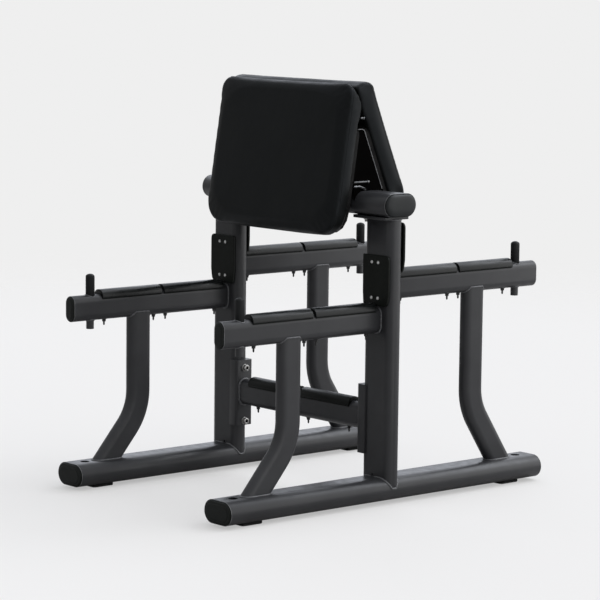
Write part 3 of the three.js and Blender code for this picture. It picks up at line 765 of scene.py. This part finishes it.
def makeGuardScrews(side, end):
    low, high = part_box(f"guard_{end}_{side}")
    face = (low.y if end == "front" else high.y) / mm
    spots = [(sides[side] * x, low.z / mm + rise)
             for x in guardScrews["across"] for rise in guardScrews["rise"]]
    for i, (x, z) in enumerate(spots):
        name, place = f"guardScrew_{end}_{side}_{i + 1}", alongY(x, z, face, ends[end])
        head, seat = (turned(guardScrews[part], place, guardScrews["steps"]) for part in ("head", "seat"))
        # The heads' light colour is a painted glint
        addShape(name, head, "paintedGlintZinc", "zinc")
        addShape(f"{name}_seat", seat, "darkSteel", "guard")


# Screw tip with its small nut, hanging below an arm or the rail
tipNut = {
    "arm": [65, 255, 300, 485],     # places out along an arm
    "rail": [26, 210],
    "washer": [(6.8, -4), (6.8, 0.9), (6.4, 1.2), (4.5, 1.2)],
    "flats": [(4.95, 1.1), (5.5, 1.6), (5.5, 6.5), (4.73, 7.1)],
    "thread": {"radius": 2.9, "from": 6.5, "to": 18, "turns": 5, "first": 0.7, "deep": 0.35, "rise": 0.4},
    "point": [(2.03, 16.5), (1.015, 18)],
}


def makeTipNut(name, x, y, under):
    thread = tipNut["thread"]
    radius, first = thread["radius"], thread["first"]
    shank = [(radius, thread["from"])]
    for i in range(thread["turns"]):
        at = thread["from"] + first + (thread["to"] - thread["from"] - 2 * first) * i / thread["turns"]
        shank += [(radius, at), (radius - thread["deep"], at + thread["rise"])]
    parts = ((tipNut["washer"], 20), (tipNut["flats"], 6), (shank + tipNut["point"], 16))
    down = alongZ(x, y, under, -1)
    pieces = [makePiece("part", turned(profile, down, steps)) for profile, steps in parts]
    addToBench(joinPieces(pieces, name), "darkSteel", "zinc")


for side, sideSign in sides.items():
    for end, endSign in ends.items():
        makeGuardScrews(side, end)
        under = armUnderside(end, 0)
        for i, out in enumerate(tipNut["arm"]):
            makeTipNut(f"armTip_{end}_{side}_{i + 1}", uprightX(side), endSign * out, under)
    under = bench["railCentre"] - bench["rail"][1] / 2
    for i, out in enumerate(tipNut["rail"]):
        makeTipNut(f"railTip_{side}_{i + 1}", sideSign * out, 0, under)


# Socket head screws through the saddles. The shade is a near-black disc at the floor of each socket, painted
# shade.
railScrew = {
    "heights": {"upper": 319, "lower": 153.5},
    "head": [(7.5, 0.2), (9.5, 0.4), (9.5, 10.8), (9, 11.6), (8.1, 12), (6, 12), (5.4, 11.4)],
    "socket": [(5.4, 6), (5.4, 14)],
    "washer": [(8.5, 0.1), (11.3, 0.1), (11.3, 1.3), (10.9, 1.8), (8.5, 1.8)],
    "shade": [(4.5, 6), (4.5, 10.5)],
}


def makeRailScrew(side, level):
    sign = sides[side]
    inwards = alongX(0, railScrew["heights"][level], sign * saddle["face"], -sign)
    head = makePiece("head", turned(railScrew["head"], inwards))
    carve(head, makePiece("socket", turned(railScrew["socket"], inwards, 6)))
    addToBench(head, "zinc", "zinc", f"rail_bolt_{level}_{side}")
    addShape(f"railWasher_{level}_{side}", turned(railScrew["washer"], inwards), "zinc", "zinc")
    # A near-black disc in each socket paints the shade there
    addShape(f"railSocketShade_{level}_{side}", turned(railScrew["shade"], inwards, 6), "paintedShadeBlack", "zinc")


for side in sides:
    for level in railScrew["heights"]:
        makeRailScrew(side, level)
print("Screws made")


# Weld beads: a rippled rod laid along each joint, coloured lighter than the frame as a painted highlight
bead = {
    "radius": {"foot": 3.0, "plate": 2.4, "rail": 4.6, "arm": 3.6, "strutTop": 2.6, "strutFoot": 3.0,
               "peg": 2.6, "pegTop": 2.0},
    "pitch": 3.4, "step": 1.1, "ripple": 0.16, "drift": 0.15, "driftScale": 0.05,
    "sides": 8,
    "tail": 5, "tailRadius": 0.35,      # steps and share of the radius at an open end
    "footLift": 5, "collarSpare": 3, "strutSide": 20.2, "roundSteps": 60,
}
firstNormal = (0.31, 0.47, 0.83)        # any direction that no path starts along


def resample(points, step, closed=False, fewest=8):
    loop = points + [points[0]] if closed else points
    lengths = [0]
    for a, b in zip(loop, loop[1:]):
        lengths.append(lengths[-1] + (Vector(b) - Vector(a)).length)
    count = max(int(lengths[-1] / step), fewest)
    made, k = [], 0
    for i in range(count + (0 if closed else 1)):
        at = lengths[-1] * i / count
        while k < len(loop) - 2 and lengths[k + 1] < at:
            k += 1
        share = (at - lengths[k]) / max(lengths[k + 1] - lengths[k], 1e-9)
        made.append(Vector(loop[k]).lerp(Vector(loop[k + 1]), share))
    return made


def sweptRod(points, radiusAt, closed, segments):
    rings = []
    normal = Vector(firstNormal)
    for i, point in enumerate(points):
        ahead = points[(i + 1) % len(points)] if closed or i + 1 < len(points) else point
        behind = points[i - 1] if closed or i else point
        tangent = (ahead - behind).normalized()
        normal = (normal - tangent * normal.dot(tangent)).normalized()
        across = tangent.cross(normal)
        radius = radiusAt(i)
        rings.append([point + (normal * cos(2 * pi * k / segments)
                               + across * sin(2 * pi * k / segments)) * radius
                      for k in range(segments)])
    if closed:
        # The rings turn a little more each, so that the last one meets the first
        first = min(range(segments), key=lambda k: (rings[-1][k] - rings[0][0]).length)
        if first:
            twist = 2 * pi * first / segments
            for i, ring in enumerate(rings):
                centre = points[i]
                ahead = points[(i + 1) % len(points)]
                turn = Matrix.Rotation(twist * i / (len(rings) - 1), 3, (ahead - centre).normalized())
                rings[i] = [centre + turn @ (p - centre) for p in ring]
    return skin(rings, closed)


def plainRod(points, radius, closed=False, segments=6):
    return sweptRod(points, lambda i: radius, closed, segments)


def makeBead(kind, label, points, closed=True):
    path = resample(points, bead["step"], closed)

    def radiusAt(i):
        ripple = abs(sin(pi * i * bead["step"] / bead["pitch"]))
        drift = noise.noise(path[i] * bead["driftScale"]) * bead["drift"]
        fromEnd = min(i, len(path) - 1 - i) / bead["tail"]
        taper = 1 if closed else min(1, bead["tailRadius"] + (1 - bead["tailRadius"]) * fromEnd)
        return bead["radius"][kind] * taper * (1 - bead["ripple"] + bead["ripple"] * ripple + drift)

    rod = sweptRod(path, radiusAt, closed, bead["sides"])
    addShape(f"weld_{kind}_{label}", rod, "weldHighlight", "powder_coat", sharpAngle=80)


def baseSurface(offset):
    wide, high = bench["base"]
    flat, radius = (wide - high) / 2, high / 2
    past = min(max(abs(offset) - flat, 0), radius)
    return bench["baseCentre"] + sqrt(radius * radius - past * past)


def finerOval(size, steps=32, step=1.5):
    outline = [(u, v, 0) for u, v in ovalOutline(size, steps)]
    return [tuple(p.to_2d()) for p in resample(outline, step, True)]


def makeUprightBeads(side):
    x = uprightX(side)
    uprightOval = finerOval(bench["upright"])
    # The bead round the upright's foot stops at the vent hole
    gapAt = -sides[side] * ventHole["inward"]
    gap = [i for i, (u, v) in enumerate(uprightOval)
           if v < 1 - bench["upright"][1] / 2 and abs(u - gapAt) < ventHole["diameter"]]
    rest = uprightOval[max(gap) + 1:] + uprightOval[:min(gap)]
    lowest = bench["baseCentre"] + bead["footLift"]
    makeBead("foot", side, [(x + u, v, max(baseSurface(u), lowest)) for u, v in rest], closed=False)
    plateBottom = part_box(f"upright_{side}")[1].z / mm - topPlate["thick"]
    makeBead("plate", side, [(x + u, v, plateBottom) for u, v in uprightOval])
    makeBead("rail", side, [(sides[side] * saddle["face"], u, bench["railCentre"] + v)
                            for u, v in finerOval(bench["rail"])])


def makeArmBeads(side, end):
    x, sign, centre = uprightX(side), ends[end], bench["armCentre"][end]
    label = f"{end}_{side}"
    face, pegY = sign * bench["upright"][1] / 2, sign * peg["at"]
    makeBead("arm", label, [(x + u, face, centre + v) for u, v in finerOval(bench["arm"])])
    strutOval = finerOval(strut["size"])
    makeBead("strutTop", label, [
        (x + u, sign * (strut["top"] + v), armUnderside(end, min(abs(u), bead["strutSide"])))
        for u, v in strutOval])
    lean = cos(radians(strut["bend"][end]))
    makeBead("strutFoot", label, [(x + u, sign * (strut["foot"] + v / lean), baseTop) for u, v in strutOval])
    stub = circleOutline(peg["stub"], bead["roundSteps"])
    makeBead("peg", label, [(x + u, pegY + v, armUnderside(end, u)) for u, v in stub])
    collar = circleOutline(peg["sleeve"] + bead["collarSpare"], bead["roundSteps"])
    makeBead("pegTop", label, [(x + u, pegY + v, 2 * centre - armUnderside(end, u)) for u, v in collar])


# Light rim round each cut tube end, partly worn paint and partly a painted highlight, and the dark groove
# between it and the cap
rings = {
    "rim": {"radius": 0.8, "inset": 0.6, "out": -0.7, "finish": "edgeWearAndHighlight", "slot": "powder_coat"},
    "groove": {"radius": 0.9, "inset": 1.2, "out": 0.9, "finish": "guardPlastic", "slot": "end_cap"},
}
ringStep = 2


def makeRings(kind, label, size, place):
    for ring, plan in rings.items():
        outline = [place(u, v, plan["out"]) for u, v in finerOval(narrowed(size, plan["inset"]))]
        rod = plainRod(resample(outline, ringStep, True), plan["radius"], True)
        addShape(f"{ring}_{kind}_{label}", rod, plan["finish"], plan["slot"], sharpAngle=80)


for side in sides:
    makeUprightBeads(side)
    for end in ends:
        makeArmBeads(side, end)
    for tubeEnd in tubeEnds(side):
        makeRings(*tubeEnd)
print("Weld beads laid")


# Pads. Each is remeshed, filled by a pressure simulation against its board, and then seamed.
pads = {
    "front": {"tilt": 9, "rearAt": -69.5, "bottom": 773, "top": 1217, "thick": 50, "facing": 1,
              "upperCorner": 42, "bulge": 5.5},
    "back": {"tilt": 22.7, "rearAt": 24.4, "bottom": 824, "top": 1210, "thick": 66, "facing": -1,
             "upperCorner": 14, "bulge": 4},
}
padFill = {
    "datum": 1000,      # height at which rearAt is given
    "halfWide": 299,
    "shrink": 2.5,      # how much smaller the simulation starts, at each side
    "shrinkThick": 0.7,     # and what share of that in its thickness
    "merge": 0.02,
    "voxel": 6,
    "quality": 1,
    "mass": 0.3,
    "pressure": 4,
    "stiffness": 80,
    "bending": 5,
    "frames": 20,
    "furthest": 7,      # no point moves further than this
    "pinned": 3,        # points this close to the board stay put
    "waveFrom": 6,      # the cover ripples further from the board than this
    "wave": 0.4,
    "waves": [(14, 0.7), (45, 0.3)],    # repeats per metre and share of each ripple
}


def padMatrix(which):
    plan = pads[which]
    tilt = radians(plan["tilt"])
    middle = (plan["top"] + plan["bottom"]) / 2
    facing = plan["facing"]
    y = plan["rearAt"] + facing * (middle - padFill["datum"]) * tan(tilt)
    across = Vector((facing, 0, 0))
    upSlope = Vector((0, facing * sin(tilt), cos(tilt)))
    outward = Vector((0, -facing * cos(tilt), sin(tilt)))
    turn = Matrix((across, upSlope, outward)).transposed().to_4x4()
    return Matrix.Translation(Vector((0, y, middle)) * mm) @ turn


def padHalfLength(which):
    plan = pads[which]
    return (plan["top"] - plan["bottom"]) / cos(radians(plan["tilt"])) / 2


# The foam bulges at the back of each pad, where one presses on the other
touch = {"height": 1137, "reach": 40, "deep": 26}


def pressTogether(piece, which, toLocal):
    outward = toLocal.inverted().col[2].xyz
    for v in piece.data.vertices:
        along = (v.co.z / mm - touch["height"]) / touch["reach"]
        rear = 1 - (toLocal @ v.co).z / mm / touch["deep"]
        if abs(along) < 1 and rear > 0:
            v.co -= outward * (pads[which]["bulge"] * mm * (1 - along * along) ** 2 * min(rear, 1))


def fillPad(piece, toLocal):
    scene = bpy.context.scene
    start = [v.co.copy() for v in piece.data.vertices]
    held = [v.index for v in piece.data.vertices if (toLocal @ v.co).z < padFill["pinned"] * mm]
    group = piece.vertex_groups.new(name="held")
    group.add(held, 1, "REPLACE")
    cloth = addModifier(piece, "CLOTH")
    setAll(cloth.settings, quality=padFill["quality"], mass=padFill["mass"], vertex_group_mass="held",
           tension_stiffness=padFill["stiffness"], compression_stiffness=padFill["stiffness"],
           bending_stiffness=padFill["bending"],
           use_pressure=True, uniform_pressure_force=padFill["pressure"])
    cloth.settings.effector_weights.gravity = 0
    setAll(cloth.point_cache, frame_start=1, frame_end=padFill["frames"])
    for number in range(1, padFill["frames"] + 1):
        scene.frame_set(number)
    applyModifiers(piece)
    scene.frame_set(1)
    furthest = padFill["furthest"] * mm
    for v, first in zip(piece.data.vertices, start):
        move = v.co - first
        if move.length > furthest:
            v.co = first + move.normalized() * furthest


def rippleCover(piece, toLocal):
    # The normals are read first, because each moved point makes the mesh work them out again
    normals = [v.normal.copy() for v in piece.data.vertices]
    for v, normal in zip(piece.data.vertices, normals):
        if (toLocal @ v.co).z > padFill["waveFrom"] * mm:
            swell = sum(noise.noise(v.co * scale) * share for scale, share in padFill["waves"])
            v.co += normal * swell * padFill["wave"] * mm


def makePad(which):
    node = f"pad_{which}"
    toWorld = padMatrix(which)
    toLocal = toWorld.inverted()
    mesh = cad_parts[node].data.copy()
    piece = addObject(f"padCover_{which}", mesh)
    work = bmesh.new()
    work.from_mesh(mesh)
    bmesh.ops.remove_doubles(work, verts=work.verts, dist=padFill["merge"] * mm)
    wide, half, thick = padFill["halfWide"], padHalfLength(which), pads[which]["thick"]
    shrink = padFill["shrink"]
    scale = Vector(((wide - shrink) / wide, (half - shrink) / half,
                    (thick - shrink * padFill["shrinkThick"]) / thick))
    for v in work.verts:
        v.co = toWorld @ ((toLocal @ v.co) * scale)
    work.to_mesh(mesh)
    work.free()
    modify(piece, "REMESH", mode="VOXEL", voxel_size=padFill["voxel"] * mm, use_smooth_shade=True)
    fillPad(piece, toLocal)
    modify(piece, "SUBSURF", levels=1, render_levels=1)
    rippleCover(piece, toLocal)
    pressTogether(piece, which, toLocal)
    addToBench(piece, "vinyl", "vinyl", node, sharpAngle=60)
    return piece, toWorld


seam = {
    "radius": 1.0, "sink": 0.25, "step": 2.5,
    "lowerCorner": 75, "cornerSteps": 12,
    "below": 9,             # from the pad's face down to the edge where its panels meet
    "aimFrom": 40,
    "aimUp": 0.35, "aimInset": 0.93, "aimBelow": 14,    # how the edge is looked for, from inside it
    "diagonal": 0.7071,
    "bandInset": 30, "bandFrom": 8, "bandShort": 12, "bandSteps": 15, "fewest": 4,
}


def makeSeams(which, cover, toWorld):
    surface = BVHTree.FromObject(cover, bpy.context.evaluated_depsgraph_get())
    plan, half, wide = pads[which], padHalfLength(which), padFill["halfWide"]

    def onSurface(local, direction):
        start = toWorld @ ((Vector(local) + Vector(direction) * seam["aimFrom"]) * mm)
        aim = (toWorld.to_3x3() @ -Vector(direction)).normalized()
        point, normal, _, _ = surface.ray_cast(start, aim)
        return [] if point is None else [(point - normal * seam["sink"] * mm) / mm]

    # Round the front edge, where the face panel meets the band
    edgeAt = plan["thick"] - seam["below"]
    lower, upper = seam["lowerCorner"], plan["upperCorner"]
    outline = roundedBoxOutline(-wide, wide, -half, half, [lower, upper, upper, lower], seam["cornerSteps"])
    line = []
    for point in resample([(u, v, 0) for u, v in outline], seam["step"], True):
        x, y = point.to_2d()
        out = Vector((x / wide, y / half, seam["aimUp"])).normalized()
        line += onSurface((x * seam["aimInset"], y * seam["aimInset"], edgeAt - seam["aimBelow"]), out)
    addShape(f"seam_rim_{which}", plainRod(line, seam["radius"], True), "vinyl", "vinyl", sharpAngle=80)
    # Across the band at each upper corner
    for side, sign in sides.items():
        corner = (sign * (wide - seam["bandInset"]), half - seam["bandInset"])
        line = []
        for i in range(seam["bandSteps"] + 1):
            height = seam["bandFrom"] + (edgeAt - seam["bandShort"]) * i / seam["bandSteps"]
            line += onSurface((*corner, height), (sign * seam["diagonal"], seam["diagonal"], 0))
        if len(line) > seam["fewest"]:
            rod = plainRod(line, seam["radius"])
            addShape(f"seam_corner_{which}_{side}", rod, "vinyl", "vinyl", sharpAngle=80)


for which in pads:
    makeSeams(which, *makePad(which))
print("Pads filled and seamed")


# CAD nodes that keep their shape and take a finish
carried = {
    "board": ["pad_board_front", "pad_board_back"],
    # The bracket plates take a near-black colour that paints the shade between the pads
    "paintedShadeBlack": ["pad_bracket_left", "pad_bracket_right"],
    "footRubber": [f"foot_{end}_{side}" for end in ends for side in sides],
    "guardPlastic": [f"guard_{end}_{side}" for end in ends for side in sides],
    "zinc": ["plate_bolt_left", "plate_bolt_right"],
}
for finish, names in carried.items():
    for name in names:
        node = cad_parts[name]
        node.data.materials.clear()
        node.data.materials.append(finishes[finish])
print("Carried nodes finished")


# Fixings between the pads, seen from the side. Each bolt's profile is (radius, place along Y).
padFixing = {
    "x": 290,
    "boltHeight": 933,
    "bolt": [(2.6, -66), (3.2, -65), (3.2, -16), (4.6, -15.8), (4.6, -9), (3.8, -8)],
    "lugHeight": 917,
    "lug": [(-66, 3), (-44, 3), (-26, -3), (-22, -8)],      # places along Y, and rises
    "lugRadius": 3.4,
    "apexHeight": 1117.5,
    "apex": [(2, -44), (3, -43.5), (3, -34), (4.6, -33.8), (4.6, -30.6), (3.8, -30)],
}
rodStep = 4


def makePadFixings(side):
    x = sides[side] * padFixing["x"]
    bolt = turned(padFixing["bolt"], alongY(x, padFixing["boltHeight"]), 18)
    addShape(f"padBolt_{side}", bolt, "dullZinc", "zinc")
    # Bent lug under the bolt
    line = [(x, y, padFixing["lugHeight"] + rise) for y, rise in padFixing["lug"]]
    lug = plainRod(resample(line, rodStep), padFixing["lugRadius"])
    addShape(f"padLug_{side}", lug, "dullZinc", "zinc", sharpAngle=30)
    apex = turned(padFixing["apex"], alongY(x, padFixing["apexHeight"]), 6)
    addShape(f"apexBolt_{side}", apex, "dullZinc", "zinc")


# Light rod on the edge of the bracket plate, a painted highlight, along the rear board and round its upper
# corner
bracketEdge = {
    "x": 287.2, "heights": [910, 960, 1020, 1078], "faceAt": 10, "lean": 22.7,
    "radius": 1.3, "corner": 12, "cornerSteps": 6, "topRun": 14,
}


def makeBracketEdge(side):
    x = sides[side] * bracketEdge["x"]
    lean, steps = bracketEdge["lean"], bracketEdge["cornerSteps"]
    across = tan(radians(lean))
    line = [(x, bracketEdge["faceAt"] + (padFill["datum"] - height) * across - bracketEdge["radius"], height)
            for height in bracketEdge["heights"]]
    slope = radians(90 + lean)
    inward = Vector((0, cos(slope), sin(slope))).cross(Vector((1, 0, 0))) * -bracketEdge["corner"]
    middle = Vector(line[-1]) + inward
    for i in range(1, steps + 1):
        turn = Matrix.Rotation(radians((90 - lean) * i / steps), 3, "X")
        line.append(tuple(middle - turn @ inward))
    last = line[-1]
    line.append((x, last[1] - bracketEdge["topRun"], last[2]))
    rod = plainRod(resample(line, rodStep), bracketEdge["radius"], segments=8)
    addShape(f"bracketEdge_{side}", rod, "edgeWearAndHighlight", "powder_coat", sharpAngle=80)


for side in sides:
    makePadFixings(side)
    makeBracketEdge(side)
print("Pad fixings made")


# Floor, light and background. The sky lights the bench from its right and from above behind it,
# and the camera sees a plain pale one.
studio = {
    "background": (0.863, 0.863, 0.863),
    "mirrored": 0.25,       # share of that background in what glossy surfaces show
    "dim": (0.10, 0.098, 0.094),
    "floorColour": 0.85,
    "floorTint": (1.0, 0.975, 0.945),
    "floorRoughness": 0.9,
    "floorGlow": 0.5,       # share of the camera's view of the floor that light doesn't change
    "floorBounce": 0.42,    # what the floor gives back to the bench itself
    "floorRadius": 9,
    "floorSteps": 96,
    "fadeFrom": 3.2,
    "fadeTo": 6.5,
}
glows = {
    "overhead": {"towards": (0, 0, 1), "from": -0.1, "to": 1, "light": (0.52, 0.54, 0.58)},
    "right": {"towards": (0.78, 0.62, -0.05), "from": 0.2, "to": 0.95, "light": (1.3, 1.3, 1.3)},
    "window": {"towards": (0.1, 0.65, 0.75), "from": 0.86, "to": 0.97, "light": (2.5, 2.6, 2.8)},
    "leftWindow": {"towards": (-0.75, 0.5, 0.45), "from": 0.86, "to": 0.97, "light": (1.25, 1.32, 1.48)},
}


def smoothStep(tree, value, start, end):
    inputs = {"Value": value, "From Min": start, "From Max": end}
    return addNode(tree, "MapRange", inputs, interpolation_type="SMOOTHSTEP").outputs["Result"]


def scaledBy(tree, colour, amount):
    return addNode(tree, "VectorMath", {0: colour, "Scale": amount}, operation="SCALE").outputs["Vector"]


def mixedShader(tree, share, first, second):
    return addNode(tree, "MixShader", {"Fac": share, 1: first.outputs[0], 2: second.outputs[0]})


def makeWorld():
    world = bpy.data.worlds.new("studio")
    bpy.context.scene.world = world
    world.use_nodes = True
    tree = world.node_tree
    tree.nodes.clear()
    direction = addNode(tree, "TexCoord").outputs["Generated"]
    light = studio["dim"]
    for plan in glows.values():
        towards = Vector(plan["towards"]).normalized()
        facing = addNode(tree, "VectorMath", {0: direction, 1: towards}, operation="DOT_PRODUCT")
        glow = smoothStep(tree, facing.outputs["Value"], plan["from"], plan["to"])
        added = addNode(tree, "VectorMath", {0: light, 1: scaledBy(tree, plan["light"], glow)})
        light = added.outputs["Vector"]
    sky = addNode(tree, "Background", {"Color": light})
    seen = addNode(tree, "Background", {"Color": (*studio["background"], 1)})
    rays = addNode(tree, "LightPath").outputs
    direct = addNode(tree, "Math", {0: rays["Is Camera Ray"], 1: rays["Is Transmission Ray"]},
                     operation="MAXIMUM")
    share = addNode(tree, "Math", {0: rays["Is Glossy Ray"], 1: studio["mirrored"], 2: direct.outputs[0]},
                    operation="MULTIPLY_ADD", use_clamp=True)
    mixed = mixedShader(tree, share.outputs[0], sky, seen)
    addNode(tree, "OutputWorld", {"Surface": mixed.outputs[0]})


def makeFloor():
    outline = circleOutline(2 * studio["floorRadius"], studio["floorSteps"])
    mesh = bpy.data.meshes.new("floor")
    mesh.from_pydata([(x, y, 0) for x, y in outline], [], [tuple(range(len(outline)))])
    floor = addObject("floor", mesh)
    look, tree = newLook("floor")
    toCamera = addNode(tree, "LightPath").outputs["Is Camera Ray"]
    tones = {"Value": toCamera, "To Min": studio["floorBounce"], "To Max": studio["floorColour"]}
    colour = scaledBy(tree, studio["floorTint"], addNode(tree, "MapRange", tones).outputs["Result"])
    shader = setInputs(tree, tree.nodes["Principled BSDF"], {
        "Base Color": colour, "Roughness": studio["floorRoughness"], "Specular IOR Level": 0})
    glowing = addNode(tree, "Emission", {"Color": (*studio["background"], 1)})
    glow = addNode(tree, "Math", {0: toCamera, 1: studio["floorGlow"]}, operation="MULTIPLY")
    seen = mixedShader(tree, glow.outputs[0], shader, glowing)
    # The floor fades into the background before its rim
    where = addNode(tree, "TexCoord").outputs["Object"]
    distance = addNode(tree, "VectorMath", {0: where}, operation="LENGTH").outputs["Value"]
    fade = smoothStep(tree, distance, studio["fadeFrom"], studio["fadeTo"])
    faded = mixedShader(tree, fade, seen, addNode(tree, "BsdfTransparent"))
    setInputs(tree, tree.nodes["Material Output"], {"Surface": faded.outputs[0]})
    mesh.materials.append(look)


makeWorld()
makeFloor()
bpy.context.scene.view_settings.view_transform = "Standard"
print("Studio ready")
